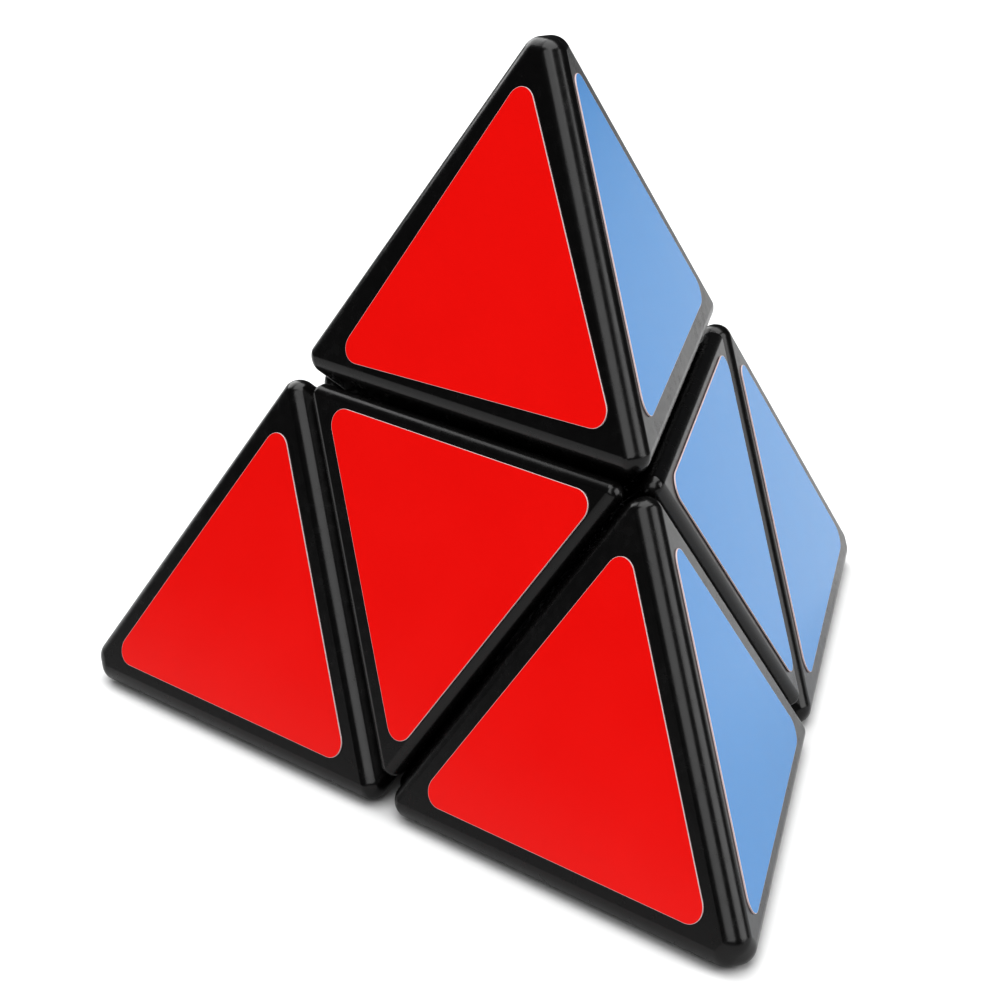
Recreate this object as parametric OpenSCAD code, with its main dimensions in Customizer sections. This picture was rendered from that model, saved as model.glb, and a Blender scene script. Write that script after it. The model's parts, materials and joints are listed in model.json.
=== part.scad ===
// Pyramid twisty puzzle: a tetrahedron cut through its centre by three planes, so that its
// two halves turn against each other about three axes. Eight outer pieces ride on a hidden
// mechanism of feet, edges and centres around a ball-shaped core.
// The design lies in a cube frame: the three turning axes are x, y and z through the centre,
// and the pyramid's tips point along alternate corners of the cube. stand() then turns it
// upright, with the apex along +Z and the yellow face down.

/* [Pyramid] */
// Edge of the pyramid before its edges and tips are rounded
edge = 98; // [94:1:108]
// Radius of the outer edges
outer_r = 1.8; // [1.4:0.1:2.2]
// Radius of the tips
tip_r = 2.3; // [2.2:0.1:3]
// Radius of a corner piece's edges along the cuts
corner_r = 1.8; // [1:0.1:2]
// Radius of a face piece's edges
face_r = 1.3; // [0.8:0.1:1.6]
// Clearance from each piece to its cutting plane
cut_gap = 0.2; // [0.15:0.05:0.3]

/* [Caps] */
// Wall behind a coloured face
face_wall = 1.6; // [1.2:0.1:1.8]
// Wall along a cut
cut_wall = 1.4; // [1:0.1:1.6]
// Radius of the post inside a corner cap
post_r = 2.6; // [2.2:0.1:3]
// Radius of the pin that the post is pressed onto
pin_r = 1.3; // [1:0.1:1.6]

/* [Stickers] */
// Thickness of a sticker
sticker_t = 0.15; // [0.1:0.05:0.2]
// Side of a sticker, as a share of its triangle
sticker_share = 0.765; // [0.7:0.005:0.8]
// Radius of a sticker's corners
sticker_r = 1.7; // [1:0.1:3]
// Distance of a corner sticker towards the cut from the middle of its triangle
sticker_shift = 0.85; // [0:0.05:1.2]

/* [Mechanism] */
// Thickness of the dish that fills the inside of a cap
dish_wall = 1.6; // [1.2:0.1:1.8]
// Radius at which the feet end and the necks begin
foot_r = 11.5; // [11:0.1:12]
// Distance of the cutting planes from the centre among the necks
neck_cut = 5; // [4.8:0.1:5.4]
// Distance of the cutting planes from the centre among the feet
foot_cut = 3.2; // [3.1:0.1:3.6]
// Radius of the ball-shaped core
core_r = 7.3; // [7:0.1:7.5]
// Clearance from each sliding face to the surface it shares
run_gap = 0.1; // [0.1:0.01:0.15]

/* [Tension screws] */
// Radius of the screw's shank
screw_r = 1.25; // [1:0.05:1.3]
// Radius of the screw's head
head_r = 2.7; // [2.5:0.1:2.9]
// Height of the screw's head
head_h = 1.5; // [1.2:0.1:1.6]
// Outer radius of the spring
spring_r = 2.15; // [2.05:0.05:2.2]
// Thickness of the spring's wire
wire_d = 0.5; // [0.4:0.05:0.6]
// Turns of the spring
spring_turns = 4; // [3:1:5]

/* [Hidden] */
$fn = 64;
black = [0.05, 0.05, 0.06];
grey = [0.62, 0.63, 0.65];
steel = [0.74, 0.75, 0.77];
slack = 0.2; // room between a dish and the face above it
bore_gap = 0.3; // play of a sprung centre around its screw
half_cube = edge / sqrt(8); // half the cube whose alternate corners are the tips
face_dist = half_cube / sqrt(3); // centre of the pyramid to each face
tip_dist = 3 * face_dist;
face_to_tip = edge / sqrt(3); // centre of a face to its tips
block = 1.2 * half_cube; // holds any one outer piece
reach = 4 * half_cube; // larger than the puzzle
dish_out = face_dist - face_wall - slack;
dish_in = dish_out - dish_wall;
neck_r = dish_in - 2 * run_gap; // outside of the edges and centres
floor_x = core_r + 2.1; // spring seat of a sprung centre
step_x = foot_r + 0.7; // where the pocket widens for the screw's head
head_x = neck_r - 1.4 - head_h; // underside of the screw's head
screw_end = 3; // depth of a screw's tip from the centre
washer_t = 0.4;
stub_r = 1.6; // stubs of the core that hold the fixed centres
key_r = 1.5; // peg that keys the core to the yellow face piece
arc_steps = 6; // flats along each corner of a sticker
ring_steps = 12; // rings in one turn of the spring
wire_sides = 6;

// Tips and faces of the pyramid as directions in the cube frame. A tip and the face opposite
// to it point in opposite directions.
CORNERS = [["top", [1, 1, 1]], ["left", [1, -1, -1]], ["right", [-1, 1, -1]], ["back", [-1, -1, 1]]];
FACES = [
    ["yellow", [-1, -1, -1], [0.98, 0.83, 0.1]],
    ["blue", [-1, 1, 1], [0.36, 0.6, 0.86]],
    ["green", [1, -1, 1], [0.1, 0.62, 0.3]],
    ["red", [1, 1, -1], [0.9, 0.08, 0.06]]
];
SPRUNG = [["left", [1, 0, 0]], ["right", [0, 1, 0]], ["back", [0, 0, 1]]];
FIXED = [["right", [-1, 0, 0]], ["left", [0, -1, 0]], ["front", [0, 0, -1]]];

// Stickers are laid by hand. These lie off centre, by [along x, along y, degrees] in sticker().
LAID = [
    ["top_corner_red_sticker", [-0.3, -0.4, 2]],
    ["top_corner_blue_sticker", [0.6, 0.5, 0]],
    ["right_corner_blue_sticker", [0.4, -0.3, 0]],
    ["back_corner_blue_sticker", [-0.6, 0.2, 0]],
    ["red_face_sticker", [-0.2, 0.9, 0]]
];
function off_centre(name) =
    let (found = [for (l = LAID) if (l[0] == name) l[1]]) len(found) > 0 ? found[0] : [0, 0, 0];

// A corner meets every face but the one opposite to it.
PAIRS = [for (c = CORNERS) for (f = FACES) if (c[1] != -f[1]) [c, f]];
function sticker_name(p) = str(p[0][0], "_corner_", p[1][0], "_sticker");
function edge_name(p) = str("inner_edge_", p[0][0], "_", p[1][0]);

function unit(v) = v / norm(v);

// ---------------------------------------------------------------- frames

// Turns the cube frame upright and rests the yellow stickers on z = 0.
module stand() {
    translate([0, 0, face_dist + sticker_t])
        rotate([0, 0, -90])
            rotate([0, -acos(1 / sqrt(3)), 0])
                rotate([0, 0, -45])
                    children();
}

// Turns +z to the direction v.
module along(v) {
    rotate([0, acos(v.z / norm(v)), atan2(v.y, v.x)]) children();
}

// Takes a piece made for the direction [1, 1, 1] or [-1, -1, -1] to the direction s, by half a
// turn about the axis in which the two agree.
module to_octant(s) {
    home = s.x * s.y * s.z * [1, 1, 1];
    axis = [for (k = [0 : 2]) s[k] == home[k] ? 1 : 0];
    if (s == home) children();
    else rotate(180, axis) children();
}

// ---------------------------------------------------------------- solids with rounded edges

// Everything beyond the plane at distance d along the unit vector n.
module beyond(n, d) {
    along(n) translate([-reach, -reach, d]) cube([2 * reach, 2 * reach, reach]);
}

// Flats tangent to a round of radius r between two planes [normal, distance].
module round_edge(p, q, r, flats) {
    turn = acos(p[0] * q[0]);
    for (k = [1 : flats]) {
        a = sin(turn * (1 - k / (flats + 1))) / sin(turn);
        b = sin(turn * k / (flats + 1)) / sin(turn);
        beyond(a * p[0] + b * q[0], a * (p[1] - r) + b * (q[1] - r) + r);
    }
}

// The corner piece towards [1, 1, 1], moved in by face_in at its faces and cut_in at its cuts,
// with flats along the edges between its faces.
module corner_form(face_in, cut_in, flats) {
    sides = [for (f = FACES) if (f[0] != "yellow") [unit(f[1]), face_dist - face_in]];
    difference() {
        translate(cut_in * [1, 1, 1]) cube(block);
        for (p = sides) beyond(p[0], p[1]);
        for (k = [0 : 2]) round_edge(sides[k], sides[(k + 1) % 3], outer_r, flats);
    }
}

// The face piece towards [-1, -1, -1], moved in the same way.
module face_form(face_in, cut_in) {
    difference() {
        translate((-cut_in - block) * [1, 1, 1]) cube(block);
        beyond(unit([-1, -1, -1]), face_dist - face_in);
    }
}

// ---------------------------------------------------------------- outer pieces

// Corner cap: a hollow shell with three coloured faces, open towards the core, and a post
// inside that is pressed onto the foot's pin.
module corner_cap(s) {
    sides = [for (f = FACES) if (f[0] != "yellow") [unit(f[1]), face_dist]];
    cuts = [[[-1, 0, 0], -cut_gap], [[0, -1, 0], -cut_gap], [[0, 0, -1], -cut_gap]];
    color(black) stand() to_octant(s) {
        difference() {
            corner_form(0, cut_gap, 3);
            beyond(unit([1, 1, 1]), tip_dist - 2 * tip_r);
            for (k = [0 : 2]) round_edge(cuts[k], cuts[(k + 1) % 3], corner_r, 1);
            for (p = sides) for (q = cuts) if (p[0] * q[0] > 0) round_edge(p, q, corner_r, 1);
            corner_form(face_wall, cut_gap + cut_wall, 1);
            sphere(dish_in);
        }
        intersection() {
            corner_form(face_wall / 2, cut_gap, 1);
            along([1, 1, 1]) difference() {
                translate([0, 0, dish_out]) cylinder(r = post_r, h = tip_dist - dish_out);
                translate([0, 0, dish_out]) cylinder(r = pin_r, h = 8);
            }
        }
    }
}

// Face cap: a hollow triangular shell with one coloured face, open towards the core.
module face_cap(s) {
    side = [unit([-1, -1, -1]), face_dist];
    cuts = [[[1, 0, 0], -cut_gap], [[0, 1, 0], -cut_gap], [[0, 0, 1], -cut_gap]];
    color(black) stand() to_octant(s) difference() {
        face_form(0, cut_gap);
        for (k = [0 : 2]) {
            round_edge(side, cuts[k], face_r, 1);
            round_edge(cuts[k], cuts[(k + 1) % 3], face_r, 1);
        }
        face_form(face_wall, cut_gap + cut_wall);
        sphere(dish_in);
    }
}

// Sticker, a triangle with rounded corners, one of them towards +x, laid at this distance
// along x and as far off centre as its name says.
module sticker(name, distance) {
    off = off_centre(name);
    side = sticker_share * edge / 2;
    corner_at = side / sqrt(3) - 2 * sticker_r;
    points = [
        for (c = [0, 120, 240]) for (k = [0 : arc_steps])
            let (a = c - 60 + 120 * k / arc_steps)
                corner_at * [cos(c), sin(c)] + sticker_r * [cos(a), sin(a)]
    ];
    translate([distance + off.x, off.y, 0]) rotate(off.z) linear_extrude(sticker_t) polygon(points);
}

// Lays a sticker on the face towards n, with +x towards the tip t.
module on_face(n, t) {
    z = unit(n);
    x = unit(t - (t * z) * z);
    y = cross(z, x);
    o = face_dist * z;
    stand()
        multmatrix([
            [x.x, y.x, z.x, o.x],
            [x.y, y.y, z.y, o.y],
            [x.z, y.z, z.z, o.z]
        ]) children();
}

// Sticker of a corner piece, on one face.
module corner_sticker(p) {
    color(p[1][2]) on_face(p[1][1], p[0][1])
        sticker(sticker_name(p), face_to_tip / 2 - sticker_shift);
}

// Sticker in the middle of a face, whose corners point away from the face's tips.
module face_sticker(f) {
    away = [-f[1].x, -f[1].y, f[1].z];
    color(f[2]) on_face(f[1], away) sticker(str(f[0], "_face_sticker"), 0);
}

// ---------------------------------------------------------------- mechanism

// One cell of a 3 x 3 x 3 grid whose cutting planes lie at h from the centre. Each number of s
// is -1, 0 or 1 and picks the cell's layer along that axis.
module cell(s, h) {
    low = [for (k = s) k > 0 ? h + run_gap : k < 0 ? -reach : run_gap - h];
    high = [for (k = s) k < 0 ? -h - run_gap : k > 0 ? reach : h - run_gap];
    translate(low) cube(high - low);
}

module zone(from, to) {
    difference() {
        sphere(to);
        sphere(from);
    }
}

// What every moving piece of the mechanism shares: a wide foot next to the core, which the
// necks of its neighbours hold down, and a neck above it that reaches out to the radius top.
module foot_and_neck(s, top) {
    intersection() {
        cell(s, foot_cut);
        zone(core_r + 2 * run_gap, foot_r - run_gap);
    }
    intersection() {
        cell(s, neck_cut);
        zone(foot_r + run_gap, top);
    }
    intersection() {
        cell(s, foot_cut);
        cell(s, neck_cut);
        zone(foot_r - 1, foot_r + 1);
    }
}

// Foot of an outer piece: foot, neck and the dish that is bonded into the cap.
module outer_foot(s) {
    foot_and_neck(s, dish_in + run_gap);
    intersection() {
        cell(s, cut_gap + cut_wall - run_gap);
        zone(dish_in, dish_out);
    }
}

module corner_foot(s) {
    color(grey) stand() {
        outer_foot(s);
        along(s) translate([0, 0, dish_out - 1]) cylinder(r = pin_r, h = 8.8);
    }
}

// The yellow one has the socket for the core's key.
module face_foot(s) {
    color(grey) stand() difference() {
        outer_foot(s);
        if (s == FACES[0][1]) along(s) cylinder(r = key_r, h = foot_r);
    }
}

module inner_edge(p) {
    color(grey) stand() foot_and_neck((p[0][1] + p[1][1]) / 2, neck_r);
}

// Centre that a tension screw holds to the core, with a seat for its spring.
module sprung_centre(s) {
    color(grey) stand() difference() {
        foot_and_neck(s, neck_r);
        along(s) {
            cylinder(r = screw_r + bore_gap, h = reach);
            translate([0, 0, floor_x]) cylinder(r = spring_r + bore_gap, h = reach);
            translate([0, 0, step_x]) cylinder(r = head_r + bore_gap, h = reach);
        }
    }
}

// Centre that is pressed onto a stub of the core.
module fixed_centre(s) {
    color(grey) stand() difference() {
        foot_and_neck(s, neck_r);
        along(s) cylinder(r = stub_r, h = neck_r - 2);
    }
}

module core() {
    color(grey) stand() {
        difference() {
            sphere(core_r);
            for (s = SPRUNG) along(s[1]) translate([0, 0, screw_end]) cylinder(r = screw_r, h = core_r);
        }
        for (s = FIXED) along(s[1]) cylinder(r = stub_r, h = neck_r - 2);
        along(FACES[0][1]) cylinder(r = key_r, h = foot_r - 1);
    }
}

module tension_screws() {
    color(steel) stand() for (s = SPRUNG) along(s[1]) difference() {
        union() {
            translate([0, 0, screw_end]) cylinder(r = screw_r, h = head_x - screw_end);
            translate([0, 0, head_x]) cylinder(r = head_r, h = head_h);
        }
        for (a = [0, 90]) rotate(a) translate([-1.6, -0.35, head_x + head_h - 0.8]) cube([3.2, 0.7, 1]);
    }
}

module tension_washers() {
    color(steel) stand() for (s = SPRUNG) along(s[1]) translate([0, 0, head_x - washer_t]) difference() {
        cylinder(r = head_r, h = washer_t);
        translate([0, 0, -1]) cylinder(r = screw_r + 0.1, h = 2);
    }
}

// Coil spring between a centre's seat and the washer, as a tube swept along a helix.
module spring(low, high) {
    coil_r = spring_r - wire_d / 2;
    rings = ring_steps * spring_turns;
    pitch_angle = atan((high - low - wire_d) / (2 * PI * coil_r * spring_turns));
    points = [
        for (k = [0 : rings]) for (j = [0 : wire_sides - 1])
            let (
                a = 360 * k / ring_steps,
                b = 360 * j / wire_sides,
                out = coil_r + wire_d / 2 * cos(b),
                side = wire_d / 2 * sin(b)
            )
                [
                    out * cos(a) + side * sin(pitch_angle) * sin(a),
                    out * sin(a) - side * sin(pitch_angle) * cos(a),
                    low + wire_d / 2 + (high - low - wire_d) * k / rings + side * cos(pitch_angle)
                ]
    ];
    tube = [
        for (k = [0 : rings - 1]) for (j = [0 : wire_sides - 1])
            let (n = (j + 1) % wire_sides, r = k * wire_sides, t = r + wire_sides)
                [r + j, t + j, t + n, r + n]
    ];
    ends = [
        [for (j = [0 : wire_sides - 1]) j],
        [for (j = [wire_sides - 1 : -1 : 0]) rings * wire_sides + j]
    ];
    polyhedron(points, concat(tube, ends));
}

module tension_springs() {
    color(steel) stand() for (s = SPRUNG) along(s[1]) spring(floor_x + run_gap, head_x - washer_t - 0.05);
}

// ---------------------------------------------------------------- nodes

for (c = CORNERS) {
    corner_cap(c[1]);
    corner_foot(c[1]);
}
for (f = FACES) {
    face_cap(f[1]);
    face_foot(f[1]);
    face_sticker(f);
}
for (p = PAIRS) {
    corner_sticker(p);
    inner_edge(p);
}
for (s = SPRUNG) sprung_centre(s[1]);
for (s = FIXED) fixed_centre(s[1]);
core();
tension_screws();
tension_washers();
tension_springs();
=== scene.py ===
import json
import math

import bmesh
import bpy
from mathutils import Matrix, Vector


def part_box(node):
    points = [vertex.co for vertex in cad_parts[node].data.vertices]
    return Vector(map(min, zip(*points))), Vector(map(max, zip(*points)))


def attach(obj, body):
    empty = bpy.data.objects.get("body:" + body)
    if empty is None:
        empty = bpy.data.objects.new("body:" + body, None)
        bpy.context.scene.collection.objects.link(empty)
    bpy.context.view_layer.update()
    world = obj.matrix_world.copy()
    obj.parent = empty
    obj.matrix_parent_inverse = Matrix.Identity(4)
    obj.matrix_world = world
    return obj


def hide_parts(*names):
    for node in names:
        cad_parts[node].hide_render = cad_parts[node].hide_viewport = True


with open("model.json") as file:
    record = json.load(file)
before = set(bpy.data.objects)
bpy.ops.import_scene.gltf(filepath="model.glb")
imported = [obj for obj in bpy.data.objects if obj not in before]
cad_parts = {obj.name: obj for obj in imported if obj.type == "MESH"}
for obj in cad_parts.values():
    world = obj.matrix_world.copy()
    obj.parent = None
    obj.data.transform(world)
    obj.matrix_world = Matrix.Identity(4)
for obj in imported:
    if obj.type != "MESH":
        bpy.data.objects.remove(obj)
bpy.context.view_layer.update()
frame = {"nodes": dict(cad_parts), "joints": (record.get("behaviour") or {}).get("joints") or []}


# ------------------------------------------------------------------ stand and light
# The puzzle stands on a pale tabletop under a broad softbox, with smaller ones at its left,
# front and right. The room around is dim, so that black plastic stays black.

MM = 0.001
scene = bpy.context.scene
scene.view_settings.view_transform = "Standard"
scene.view_settings.gamma = 0.8
for thing in list(bpy.context.selected_objects):
    thing.select_set(False)

camera_azimuth = math.radians(42.98)
camera_elevation = math.radians(24.2)
camera_roll = math.radians(-1.35)
camera_distance = 275.5 * MM
aim = Vector((-5.66, -2.25, 25.07)) * MM
level = math.cos(camera_elevation)
towards_camera = Vector((
    math.sin(camera_azimuth) * level,
    -math.cos(camera_azimuth) * level,
    math.sin(camera_elevation),
))
facing = (-towards_camera).to_track_quat("-Z", "Y").to_matrix()
turn = facing @ Matrix.Rotation(camera_roll, 3, "Z")
bpy.ops.object.camera_add(
    location=aim + towards_camera * camera_distance, rotation=turn.to_euler()
)
camera = bpy.context.object
camera.name = "camera"
camera.data.sensor_width = 36
camera.data.lens = 93.2
camera.data.clip_start = 10 * MM
camera.data.clip_end = 20
scene.camera = camera


def softbox(name, place, size, watts):
    """A square softbox that faces the puzzle."""
    spot = Vector(place)
    aimed = (Vector((0, 0, 0.03)) - spot).to_track_quat("-Z", "Y")
    bpy.ops.object.light_add(type="AREA", location=spot, rotation=aimed.to_euler())
    lamp = bpy.context.object
    lamp.name = name
    lamp.data.size = size
    lamp.data.energy = watts


softbox("overhead_softbox", (0, 0.1, 1.1), 1.2, 22)
softbox("left_softbox", (-0.8, 0.2, 0.55), 0.8, 9)
softbox("front_softbox", (0.4, -0.75, 0.75), 0.9, 10)
softbox("right_softbox", (1.0, 0.4, 0.5), 0.8, 10)

world = bpy.data.worlds.new("studio")
world.use_nodes = True
world.node_tree.nodes["Background"].inputs["Color"].default_value = (0.9, 0.95, 1, 1)
world.node_tree.nodes["Background"].inputs["Strength"].default_value = 0.08
scene.world = world


class Value:
    """A number that varies over a surface: a socket of a material, with the usual arithmetic."""

    def __init__(self, tree, socket):
        self.tree = tree
        self.socket = socket

    def worked(self, operation, first, second):
        node = self.tree.nodes.new("ShaderNodeMath")
        node.operation = operation
        for slot, value in zip(node.inputs, (first, second)):
            if isinstance(value, Value):
                self.tree.links.new(value.socket, slot)
            else:
                slot.default_value = value
        return Value(self.tree, node.outputs[0])

    def __add__(self, other):
        return self.worked("ADD", self, other)

    def __radd__(self, other):
        return self.worked("ADD", other, self)

    def __sub__(self, other):
        return self.worked("SUBTRACT", self, other)

    def __rsub__(self, other):
        return self.worked("SUBTRACT", other, self)

    def __mul__(self, other):
        return self.worked("MULTIPLY", self, other)

    def __rmul__(self, other):
        return self.worked("MULTIPLY", other, self)

    def __pow__(self, other):
        return self.worked("POWER", self, other)

    def __rpow__(self, other):
        return self.worked("POWER", other, self)


class Finish:
    """One material. Constants go straight onto its shader, and add() makes any other node."""

    def __init__(self, name, **constants):
        self.material = bpy.data.materials.new(name)
        self.material.use_nodes = True
        self.tree = self.material.node_tree
        self.shader = self.tree.nodes["Principled BSDF"]
        for socket, value in constants.items():
            self.shader.inputs[socket.replace("_", " ")].default_value = value
        self.spot = self.add("ShaderNodeTexCoord", output="Object")

    def add(self, kind, settings=None, output=0, **inputs):
        node = self.tree.nodes.new(kind)
        for name, value in (settings or {}).items():
            if name == "stops":
                ramp = node.color_ramp.elements
                for stop, (place, colour) in zip(ramp, value):
                    stop.position = place
                    stop.color = colour
            else:
                setattr(node, name, value)
        for name, value in inputs.items():
            slot = node.inputs[name.replace("_", " ")]
            if isinstance(value, Value):
                self.tree.links.new(value.socket, slot)
            else:
                slot.default_value = value
        return Value(self.tree, node.outputs[output])

    def noise(self, size, detail=3.0):
        """Smooth noise from 0 to 1 with blotches of about this size in metres."""
        return self.add("ShaderNodeTexNoise", Vector=self.spot, Scale=1 / size, Detail=detail)

    def between(self, mix, first, second):
        """The colour between two colours."""
        ramp = {"stops": ((0, (*first, 1)), (1, (*second, 1)))}
        return self.add("ShaderNodeValToRGB", ramp, Fac=mix)

    def set(self, socket, value):
        self.tree.links.new(value.socket, self.shader.inputs[socket])

    def raise_by(self, height, depth):
        """Bumps of this depth in metres, from a height of 0 to 1."""
        bump = self.add("ShaderNodeBump", output="Normal", Strength=1, Distance=depth, Height=height)
        self.set("Normal", bump)


bpy.ops.mesh.primitive_plane_add(size=6, location=(0, 0, 0))
floor = bpy.context.object
floor.name = "floor"
tabletop = Finish("white_tabletop", Roughness=0.7, Specular_IOR_Level=0.2)
tone = tabletop.between(tabletop.noise(50 * MM), (0.56, 0.56, 0.56), (0.58, 0.58, 0.58))
tabletop.set("Base Color", tone)
floor.data.materials.append(tabletop.material)


# ------------------------------------------------------------------ core and centres
# The core is a ball of moulded grey nylon. Three centres are pressed onto its stubs, and
# three are held to it by the tension screws. All are matt and a little mottled by the mould.


def moulded_nylon(name, dark, light, gloss):
    """Grey nylon with flow marks, the fine grain of the mould and a few glossy rubs."""
    nylon = Finish(name, IOR=1.53)
    flow = nylon.noise(9 * MM, 5)
    grain = nylon.noise(0.35 * MM, 2)
    rubbed = nylon.noise(3 * MM, 4) ** 4
    nylon.set("Base Color", nylon.between(flow, dark, light))
    nylon.set("Roughness", gloss + 0.16 * flow - 0.9 * rubbed)
    nylon.raise_by(grain + 2 * flow, 0.02 * MM)
    return nylon.material


def finish_nodes(names, material):
    """Gives carried-over pieces their finish."""
    for name in names:
        mesh = frame["nodes"][name].data
        mesh.materials.clear()
        mesh.materials.append(material)


core_nylon = moulded_nylon("core_nylon", (0.36, 0.37, 0.39), (0.44, 0.45, 0.47), 0.42)
centre_nylon = moulded_nylon("centre_nylon", (0.33, 0.34, 0.36), (0.4, 0.41, 0.43), 0.36)
centres = [name for name in frame["nodes"] if name.startswith(("fixed_centre", "sprung_centre"))]
finish_nodes(["core"], core_nylon)
finish_nodes(centres, centre_nylon)


# ------------------------------------------------------------------ tension screws
# Three steel screws with crossed slots, each with a washer and a coil spring of drawn wire.
# They pull the sprung centres, and with them all outer pieces, against the core.


def turned_steel(name, dark, light, mark_size, gloss):
    """Bright steel with tool marks and a thin film of oil in blotches."""
    steel = Finish(name, Metallic=1.0)
    marks = steel.noise(mark_size, 2)
    film = steel.noise(2 * MM, 4)
    steel.set("Base Color", steel.between(film, dark, light))
    steel.set("Roughness", gloss + 0.2 * film * marks)
    steel.raise_by(marks, 0.01 * MM)
    return steel.material


screw_steel = turned_steel("screw_steel", (0.5, 0.5, 0.52), (0.64, 0.64, 0.66), 0.12 * MM, 0.2)
washer_steel = turned_steel("washer_steel", (0.55, 0.55, 0.56), (0.68, 0.68, 0.7), 0.3 * MM, 0.3)
spring_wire = turned_steel("spring_wire", (0.42, 0.42, 0.44), (0.56, 0.56, 0.58), 0.06 * MM, 0.16)
finish_nodes(["tension_screws"], screw_steel)
finish_nodes(["tension_washers"], washer_steel)
finish_nodes(["tension_springs"], spring_wire)


# ------------------------------------------------------------------ inner edges
# Twelve loose pieces between the centres, which carry the feet round as a half turns. They
# slide on each other, so their nylon is worn to a low gloss.

edge_nylon = moulded_nylon("edge_nylon", (0.35, 0.36, 0.38), (0.42, 0.43, 0.45), 0.32)
finish_nodes([name for name in frame["nodes"] if name.startswith("inner_edge")], edge_nylon)


# ------------------------------------------------------------------ feet
# Eight feet, one under each cap, whose dishes are bonded into the caps. A corner's foot has a
# pin that the cap's post is pressed onto.

foot_nylon = moulded_nylon("foot_nylon", (0.37, 0.38, 0.4), (0.46, 0.47, 0.49), 0.4)
finish_nodes([name for name in frame["nodes"] if name.endswith("_foot")], foot_nylon)


# ------------------------------------------------------------------ corner caps
# Glossy black ABS shells, moulded open towards the core: three faces that meet in a blunt tip,
# and three walls along the cuts. A post inside is pressed onto the pin of the foot.

joints = {joint["name"]: joint for joint in frame["joints"]}
centre = Vector(joints["left_half_turn"]["pos_m"])
turn_names = ("left_half_turn", "right_half_turn", "back_half_turn")
axes = [Vector(joints[name]["axis"]) for name in turn_names]
upright = Matrix.Translation(centre) @ Matrix(axes).transposed().to_4x4()
sticker_low, sticker_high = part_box("yellow_face_sticker")
vinyl_thickness = sticker_high.z - sticker_low.z
face_distance = centre.z - vinyl_thickness
tip_distance = 3 * face_distance

OUTER_ROUND = 1.8 * MM
TIP_ROUND = 2.3 * MM
CUT_GAP = 0.2 * MM
FACE_WALL = 1.6 * MM
CUT_WALL = 1.4 * MM
DISH_OUTER = face_distance - 1.8 * MM  # the foot's dish lies 0.2 mm under a face's wall
DISH_INNER = face_distance - 3.4 * MM
POST_RADIUS = 2.6 * MM
POST_END = tip_distance - 8 * MM
POST_ROOT = FACE_WALL / 4  # how far the post runs into the solid tip
PIN_RADIUS = 1.3 * MM
PIN_BORE = 8 * MM
BORE_LEAD = 1 * MM  # how far the bore starts before the post, so that it opens cleanly
BLOCK_SIZE = 4.2 * face_distance  # larger than any cap
EDGE_SEED = 0.12 * MM  # the small bevel that swelling turns into a round edge
ROUNDING_STEPS = 12
ROD_SIDES = 48
BALL_SEGMENTS = 96
BALL_RINGS = 48
SMOOTH_BELOW = math.radians(32)
AREA_WEIGHT = 100  # the flats alone decide the shading of their borders

half_turns = {
    "top": Matrix.Identity(4),
    "left": Matrix.Rotation(math.pi, 4, "X"),
    "right": Matrix.Rotation(math.pi, 4, "Y"),
    "back": Matrix.Rotation(math.pi, 4, "Z"),
}
side_normals = [Vector(n).normalized() for n in ((1, 1, -1), (-1, 1, 1), (1, -1, 1))]
cut_normals = [Vector(n) for n in ((-1, 0, 0), (0, -1, 0), (0, 0, -1))]
tip_normal = Vector((1, 1, 1)).normalized()


def slice_off(normal, distance):
    """Cuts away and closes what lies further than distance along the normal."""
    bpy.ops.mesh.select_all(action="SELECT")
    bpy.ops.mesh.bisect(
        plane_co=normal * distance, plane_no=normal, use_fill=True, clear_outer=True
    )


def start_form(name, faces, under_faces, cuts, under_cuts):
    """A form in edit mode that stays these depths below a cap's outer faces and its cuts."""
    bpy.ops.object.select_all(action="DESELECT")
    bpy.ops.mesh.primitive_cube_add(size=BLOCK_SIZE)
    form = bpy.context.object
    form.name = name
    bpy.ops.object.mode_set(mode="EDIT")
    for normal in faces:
        slice_off(normal, face_distance - under_faces)
    for normal in cuts:
        slice_off(normal, -CUT_GAP - under_cuts)
    return form


def swell(radius):
    """Gives a form that was cut too small by the radius its full size and round edges."""
    bpy.ops.mesh.select_all(action="SELECT")
    bpy.ops.mesh.bevel(
        offset_type="OFFSET", offset=EDGE_SEED, segments=ROUNDING_STEPS, profile=0.5, affect="EDGES"
    )
    bpy.ops.mesh.select_all(action="SELECT")
    bpy.ops.transform.shrink_fatten(value=radius)


def combine(piece, tool, operation):
    """Joins the tool to the piece, or takes it away, and removes the tool."""
    bpy.ops.object.select_all(action="DESELECT")
    bpy.context.view_layer.objects.active = piece
    piece.select_set(True)
    bpy.ops.object.modifier_add(type="BOOLEAN")
    change = piece.modifiers[-1]
    change.operation = operation
    change.object = tool
    change.solver = "EXACT"
    bpy.ops.object.modifier_apply(modifier=change.name)
    bpy.data.objects.remove(tool)


def rod(radius, start, end):
    """A round rod along the tip's direction, between two distances from the centre."""
    bpy.ops.object.select_all(action="DESELECT")
    bpy.ops.mesh.primitive_cylinder_add(
        vertices=ROD_SIDES, radius=radius, depth=end - start,
        location=tip_normal * (start + end) / 2,
        rotation=tip_normal.to_track_quat("Z", "Y").to_euler()
    )
    return bpy.context.object


def hollow_out(cap, hollow):
    """Takes the hollow, and round room for the foot's dish, out of a cap."""
    bpy.ops.object.mode_set(mode="OBJECT")
    combine(cap, hollow, "DIFFERENCE")
    bpy.ops.mesh.primitive_uv_sphere_add(
        segments=BALL_SEGMENTS, ring_count=BALL_RINGS, radius=DISH_INNER
    )
    combine(cap, bpy.context.object, "DIFFERENCE")


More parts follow.
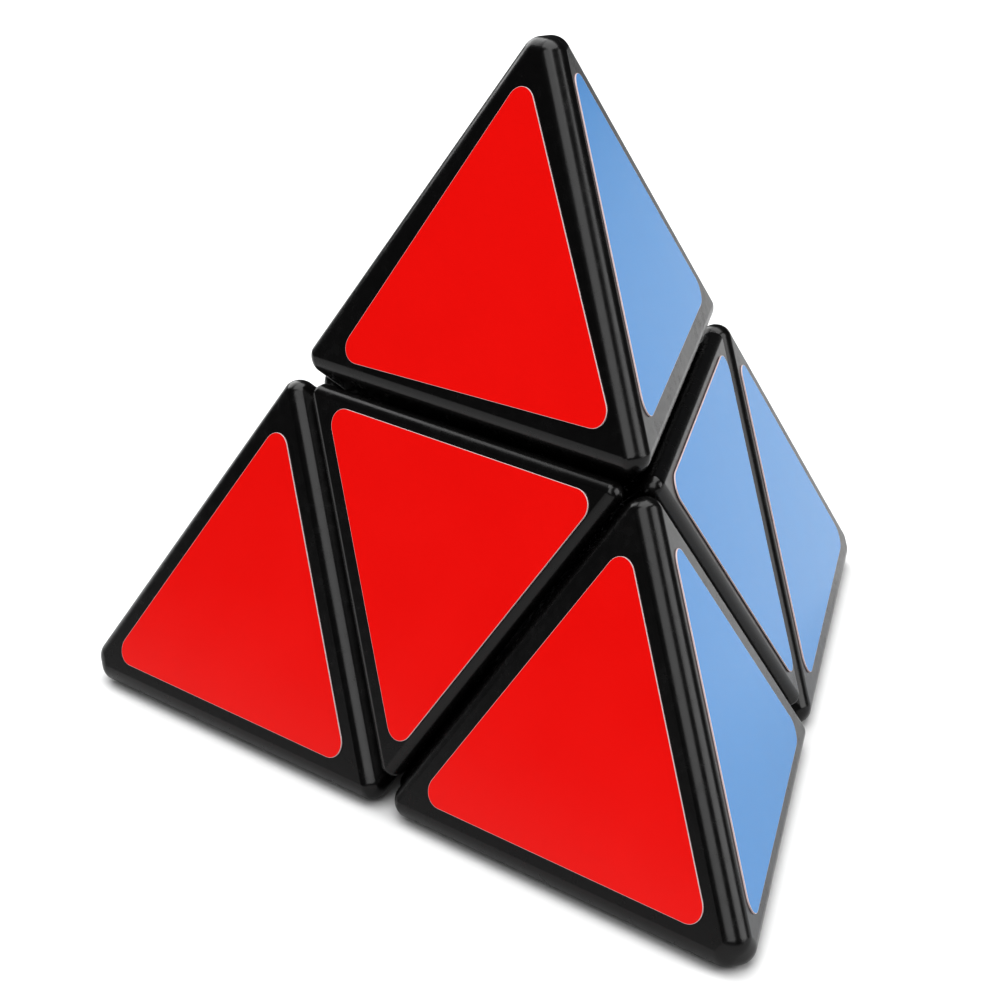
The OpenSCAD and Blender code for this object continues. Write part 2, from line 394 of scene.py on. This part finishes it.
def smooth_surface(piece):
    """Smooth shading that keeps the large flats flat."""
    bpy.ops.object.select_all(action="DESELECT")
    bpy.context.view_layer.objects.active = piece
    piece.select_set(True)
    bpy.ops.object.shade_smooth_by_angle(angle=SMOOTH_BELOW)
    bpy.ops.object.modifier_add(type="WEIGHTED_NORMAL")
    shading = piece.modifiers[-1]
    shading.mode = "FACE_AREA"
    shading.weight = AREA_WEIGHT
    shading.keep_sharp = True
    bpy.ops.object.modifier_apply(modifier=shading.name)


def place_copy(pattern, name, place):
    """A copy of a pattern piece with its own mesh, its place in the mesh."""
    piece = pattern.copy()
    piece.data = pattern.data.copy()
    piece.name = name
    scene.collection.objects.link(piece)
    piece.data.transform(place)
    return piece


corner_pattern = start_form("corner_pattern", side_normals, OUTER_ROUND, cut_normals, OUTER_ROUND)
slice_off(tip_normal, tip_distance - 2 * TIP_ROUND - OUTER_ROUND)
swell(OUTER_ROUND)
bpy.ops.object.mode_set(mode="OBJECT")

hollow = start_form("hollow", side_normals, FACE_WALL, cut_normals, CUT_WALL)
slice_off(tip_normal, POST_END)
hollow_out(corner_pattern, hollow)
post = rod(POST_RADIUS, DISH_OUTER, POST_END + POST_ROOT)
combine(corner_pattern, post, "UNION")
bore = rod(PIN_RADIUS, DISH_OUTER - BORE_LEAD, DISH_OUTER + PIN_BORE)
combine(corner_pattern, bore, "DIFFERENCE")
smooth_surface(corner_pattern)

abs_black = Finish(
    "gloss_black_abs", Base_Color=(0.002, 0.0018, 0.0018, 1), IOR=1.5, Specular_IOR_Level=0.36
)
handled = abs_black.noise(11 * MM, 4)
scuffed = abs_black.noise(1.2 * MM, 5) ** 3
abs_black.set("Roughness", 0.17 + 0.08 * handled + 0.25 * scuffed)
abs_black.raise_by(abs_black.noise(0.9 * MM, 2), 0.004 * MM)

blocks = {
    "top_corner": "top_block",
    "left_corner": "left_block",
    "right_corner": "right_block",
    "back_corner": "back_block",
    "yellow_face": "base_block",
    "blue_face": "blue_block",
    "green_face": "green_block",
    "red_face": "red_block",
}


def fit_caps(pattern, names):
    """Copies the pattern cap to its four places and fixes each to its block."""
    pattern.data.materials.clear()
    pattern.data.materials.append(abs_black.material)
    for name, half_turn in zip(names, half_turns.values()):
        cap = place_copy(pattern, name + "_cap_shell", upright @ half_turn)
        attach(cap, blocks[name])
        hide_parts(name + "_cap")
    bpy.data.objects.remove(pattern)


fit_caps(corner_pattern, ("top_corner", "left_corner", "right_corner", "back_corner"))


# ------------------------------------------------------------------ face caps
# Shells of the same ABS with one triangular face each, which fill the middle of a face. Their
# thin edges along the cuts are rounded less than the corner caps' are.

FACE_CAP_ROUND = 1.3 * MM
base_normals = [-tip_normal]
far_cuts = [-n for n in cut_normals]

face_pattern = start_form("face_pattern", base_normals, FACE_CAP_ROUND, far_cuts, FACE_CAP_ROUND)
swell(FACE_CAP_ROUND)
bpy.ops.object.mode_set(mode="OBJECT")
hollow_out(face_pattern, start_form("hollow", base_normals, FACE_WALL, far_cuts, CUT_WALL))
smooth_surface(face_pattern)
fit_caps(face_pattern, ("yellow_face", "blue_face", "green_face", "red_face"))


# ------------------------------------------------------------------ stickers
# Sixteen triangles cut from glossy vinyl with a white core, which shows as a thin pale line
# along each cut edge. A corner cap has three, and a face cap has one.

VINYL_CORNER = 1.7 * MM
VINYL_LIP = 0.03 * MM
WHITE_LINE = 0.05 * MM
WHITE_CORE = (0.48, 0.39, 0.39, 1)
ROUND_AT_60_DEGREES = 4 / 9  # the bevel profile that rounds a 60 degree corner to a circle
CORNER_STEPS = 10
LIP_STEPS = 2
FACING_UP = 0.99

corner_directions = {
    "top": (1, 1, 1),
    "left": (1, -1, -1),
    "right": (-1, 1, -1),
    "back": (-1, -1, 1),
}
face_directions = {
    "yellow": (-1, -1, -1),
    "blue": (-1, 1, 1),
    "green": (1, -1, 1),
    "red": (1, 1, -1),
}


def find_sticker(node, colour, towards):
    """The middle of a sticker's underside, its face's normal and the way to one of its corners."""
    normal = upright.to_3x3() @ Vector(face_directions[colour]).normalized()
    vertices = frame["nodes"][node].data.vertices
    points = {tuple(round(c, 6) for c in vertex.co) for vertex in vertices}
    middle = sum((Vector(point) for point in points), Vector()) / len(points)
    towards = upright.to_3x3() @ Vector(towards)
    corner = max((Vector(point) for point in points), key=lambda point: point.dot(towards))
    reach = corner - middle
    reach -= reach.dot(normal) * normal
    return middle - normal * vinyl_thickness / 2, normal, reach


corner_reach = find_sticker("yellow_face_sticker", "yellow", (1, 1, -1))[2].length

bpy.ops.object.select_all(action="DESELECT")
bpy.ops.mesh.primitive_circle_add(vertices=3, radius=corner_reach + VINYL_CORNER, fill_type="NGON")
vinyl_pattern = bpy.context.object
bpy.ops.object.mode_set(mode="EDIT")
bpy.ops.mesh.select_all(action="SELECT")
bpy.ops.mesh.bevel(
    offset_type="OFFSET", offset=VINYL_CORNER * math.sqrt(3), segments=CORNER_STEPS,
    profile=ROUND_AT_60_DEGREES, affect="VERTICES"
)
bpy.ops.mesh.select_all(action="SELECT")
bpy.ops.mesh.extrude_region_move(TRANSFORM_OT_translate={"value": (0, 0, vinyl_thickness)})
bpy.ops.mesh.select_all(action="SELECT")
bpy.ops.mesh.normals_make_consistent(inside=False)
bpy.ops.mesh.select_mode(type="FACE")
edited = bmesh.from_edit_mesh(vinyl_pattern.data)
for face in edited.faces:
    face.select_set(face.normal.z > FACING_UP)
bmesh.update_edit_mesh(vinyl_pattern.data)
bpy.ops.mesh.bevel(
    offset_type="OFFSET", offset=VINYL_LIP, segments=LIP_STEPS, profile=0.5, affect="EDGES"
)
edited = bmesh.from_edit_mesh(vinyl_pattern.data)
top_face = max(edited.faces, key=lambda f: f.calc_area() * f.normal.z)
for face in edited.faces:
    face.select_set(face == top_face)
bmesh.update_edit_mesh(vinyl_pattern.data)
bpy.ops.mesh.inset(thickness=WHITE_LINE)
bpy.ops.object.mode_set(mode="OBJECT")
printed = max(vinyl_pattern.data.polygons, key=lambda f: f.area * f.normal.z)
rim = vinyl_pattern.data.attributes.new("rim", "FLOAT", "POINT")
for vertex in vinyl_pattern.data.vertices:
    rim.data[vertex.index].value = 0 if vertex.index in printed.vertices else 1
smooth_surface(vinyl_pattern)


def vinyl(colour, shade, print_tone):
    """Glossy vinyl: an even colour, the orange peel of its lacquer, and the white core."""
    film = Finish(colour + "_vinyl", IOR=1.45, Specular_IOR_Level=0.3)
    cut_edge = film.add("ShaderNodeAttribute", {"attribute_name": "rim"}, output="Fac")
    mottle = film.noise(7 * MM, 4)
    tint = film.between(mottle, shade, print_tone)
    mixed = film.add("ShaderNodeMix", {"data_type": "RGBA"}, output=2)
    share, inner, outer = (mixed.socket.node.inputs[i] for i in (0, 6, 7))
    film.tree.links.new((cut_edge ** 2).socket, share)
    film.tree.links.new(tint.socket, inner)
    outer.default_value = WHITE_CORE
    film.set("Base Color", mixed)
    film.set("Roughness", 0.13 + 0.08 * mottle + 0.3 * cut_edge)
    film.raise_by(film.noise(1.1 * MM, 2), 0.003 * MM)
    return film.material


vinyls = {
    "red": vinyl("red", (0.57, 0.0045, 0.003), (0.6, 0.0055, 0.0035)),
    "blue": vinyl("blue", (0.008, 0.145, 0.355), (0.01, 0.155, 0.375)),
    "green": vinyl("green", (0.003, 0.2, 0.04), (0.004, 0.215, 0.045)),
    "yellow": vinyl("yellow", (0.6, 0.4, 0.007), (0.62, 0.42, 0.01)),
}


def lay_sticker(node, block, colour, towards):
    """Makes the sticker of this node and lays it where the node lies."""
    middle, normal, reach = find_sticker(node, colour, towards)
    along = reach.normalized()
    place = Matrix((along.cross(normal), along, normal)).transposed().to_4x4()
    sticker = place_copy(
        vinyl_pattern, node.replace("_sticker", "_vinyl"), Matrix.Translation(middle) @ place
    )
    sticker.data.materials.clear()
    sticker.data.materials.append(vinyls[colour])
    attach(sticker, block)
    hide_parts(node)


for colour, direction in face_directions.items():
    opposite = -Vector(direction)
    tips = {corner: tip for corner, tip in corner_directions.items() if Vector(tip) != opposite}
    for corner, tip in tips.items():
        lay_sticker(f"{corner}_corner_{colour}_sticker", blocks[corner + "_corner"], colour, tip)
    away_from_a_tip = -Vector(list(tips.values())[-1])
    lay_sticker(colour + "_face_sticker", blocks[colour + "_face"], colour, away_from_a_tip)
bpy.data.objects.remove(vinyl_pattern)
